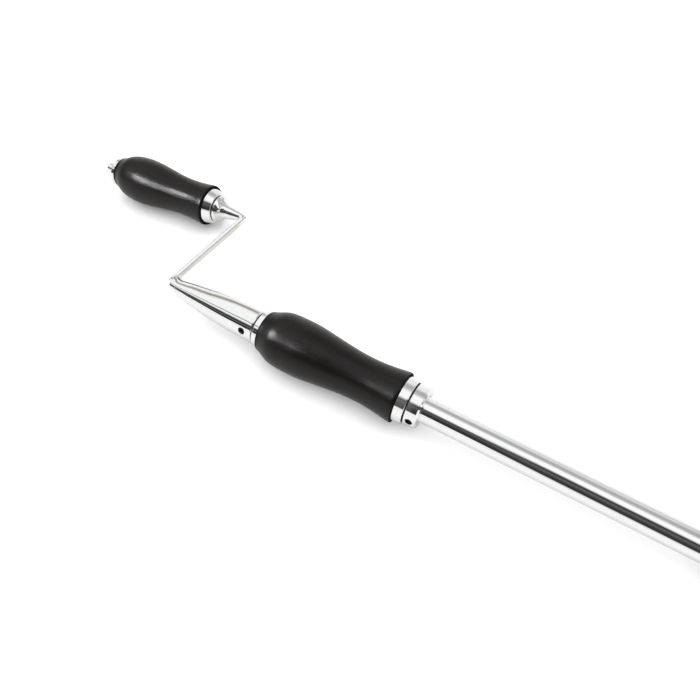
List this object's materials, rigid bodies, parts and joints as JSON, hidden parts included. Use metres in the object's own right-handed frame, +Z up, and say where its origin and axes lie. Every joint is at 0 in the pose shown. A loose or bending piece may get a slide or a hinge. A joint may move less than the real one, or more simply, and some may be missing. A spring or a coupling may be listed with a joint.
{
  "type": "hand drill",
  "caption": "Crank-driven hand drill: a turning crank handle drives a long steel tube through a fixed waisted centre grip to a keyless jaw chuck.",
  "frame": {"origin": "middle of the tool's footprint on the bench, on the bench surface", "axes": "+X along the spindle towards the chuck, +Y towards the crank handle at rest, +Z up"},
  "size_m": [0.6302, 0.125, 0.0428],
  "materials": {
    "ebonised_wood": "black-stained turned hardwood under satin-gloss lacquer",
    "polished_chrome": "mirror polished chrome plate",
    "turned_steel": "fine turned steel, lightly oiled",
    "hardened_steel": "ground hardened tool steel",
    "blackened_steel": "black oxide steel",
    "bronze": "machined bearing bronze",
    "black_fibre": "matt black fibre"
  },
  "bodies": {
    "center_grip": {"center_grip_wood": "ebonised_wood", "center_grip_rear_flange_bush": "polished_chrome", "center_grip_front_bush": "bronze", "center_grip_front_ferrule": "polished_chrome"},
    "crank_shaft": {"crank_arm": "polished_chrome", "hub_set_screw": "blackened_steel", "main_tube": "polished_chrome", "rear_thrust_washer": "black_fibre", "front_thrust_washer": "black_fibre", "stop_collar": "polished_chrome", "collar_set_screw": "blackened_steel", "handle_spindle": "turned_steel", "handle_thrust_washer": "black_fibre", "handle_end_cap": "polished_chrome", "handle_end_nut": "polished_chrome", "chuck_arbor": "turned_steel", "arbor_cross_pin": "blackened_steel", "chuck_body": "turned_steel", "chuck_rear_ring": "polished_chrome"},
    "crank_handle": {"crank_handle_wood": "ebonised_wood", "crank_handle_outer_bush": "bronze", "crank_handle_inner_bush": "bronze", "crank_handle_ferrule": "polished_chrome"},
    "chuck_sleeve": {"chuck_sleeve": "polished_chrome", "chuck_jaw_nut_half_1": "blackened_steel", "chuck_jaw_nut_half_2": "blackened_steel"},
    "jaw_1": {"chuck_jaw_1": "hardened_steel"},
    "jaw_2": {"chuck_jaw_2": "hardened_steel"},
    "jaw_3": {"chuck_jaw_3": "hardened_steel"}
  },
  "joints": [
    {"name": "crank_turn", "type": "hinge", "parent": "center_grip", "child": "crank_shaft", "pos_m": [-0.02987, -0.04115, 0.0214], "axis": [1, 0, 0], "continuous": true},
    {"name": "handle_spin", "type": "hinge", "parent": "crank_shaft", "child": "crank_handle", "pos_m": [-0.25152, 0.04235, 0.01983], "axis": [0.9981, 0.061, -0.0012], "continuous": true},
    {"name": "sleeve_turn", "type": "hinge", "parent": "crank_shaft", "child": "chuck_sleeve", "pos_m": [0.29013, -0.04115, 0.0214], "axis": [1, 0, 0], "range_deg": [0, 1800]},
    {"name": "jaw_1_slide", "type": "slide", "parent": "crank_shaft", "child": "jaw_1", "axis": [-0.9659, 0.2588, -0.0049], "range_m": [0, 0.014]},
    {"name": "jaw_2_slide", "type": "slide", "parent": "crank_shaft", "child": "jaw_2", "axis": [-0.9659, -0.1252, 0.2265], "range_m": [0, 0.014]},
    {"name": "jaw_3_slide", "type": "slide", "parent": "crank_shaft", "child": "jaw_3", "axis": [-0.9659, -0.1336, -0.2217], "range_m": [0, 0.014]}
  ],
  "couplings": [
    {"joint": "jaw_1_slide", "follows": "sleeve_turn", "m_per_rad": 0.00044563},
    {"joint": "jaw_2_slide", "follows": "sleeve_turn", "m_per_rad": 0.00044563},
    {"joint": "jaw_3_slide", "follows": "sleeve_turn", "m_per_rad": 0.00044563}
  ]
}
